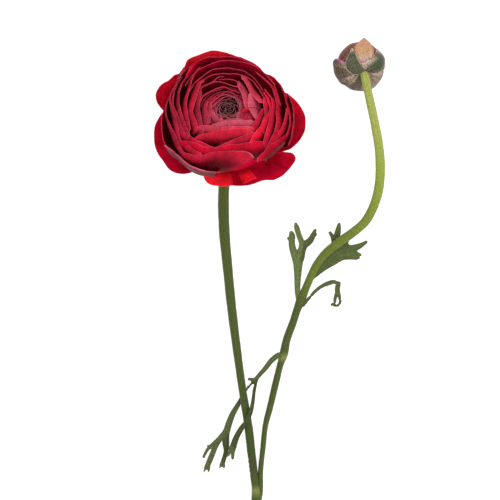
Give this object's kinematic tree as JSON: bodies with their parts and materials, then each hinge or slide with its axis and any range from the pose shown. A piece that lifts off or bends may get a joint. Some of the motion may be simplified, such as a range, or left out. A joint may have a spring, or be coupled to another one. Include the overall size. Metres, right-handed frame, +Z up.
{
  "type": "persian buttercup flower",
  "caption": "Cut persian buttercup (double ranunculus) lying down: a dense red bloom, and a side stem with a closed bud and cut leaves.",
  "frame": {"origin": "middle of the plant's box, on the surface that it lies on", "axes": "+Z up from the surface, +Y from the cut end to the flowers, +X towards the side of the bud"},
  "size_m": [0.0965, 0.2068, 0.0434],
  "materials": {
    "stem": "green stem, satin, finely ribbed and hairy",
    "pale_stem": "yellow-green stem, satin, paler towards the bud",
    "leaf": "grey-green leaf, matte",
    "petal": "crimson petal, silky",
    "heart": "dark maroon petal, matte",
    "calyx": "green sepal, matte, hairy",
    "bud_petal": "mauve-brown to peach petal, satin",
    "bud_sepal": "grey-green to brown sepal, matte, hairy"
  },
  "bodies": {
    "root": {"main_stem": "stem", "bud_stem": "pale_stem", "leaf_upper_left": "leaf", "leaf_upper_right": "leaf", "leaf_small_curled": "leaf", "leaf_lower": "leaf", "flower_petals": "petal", "flower_heart": "heart", "flower_calyx": "calyx", "bud_petals": "bud_petal", "bud_sepals": "bud_sepal"}
  },
  "joints": []
}
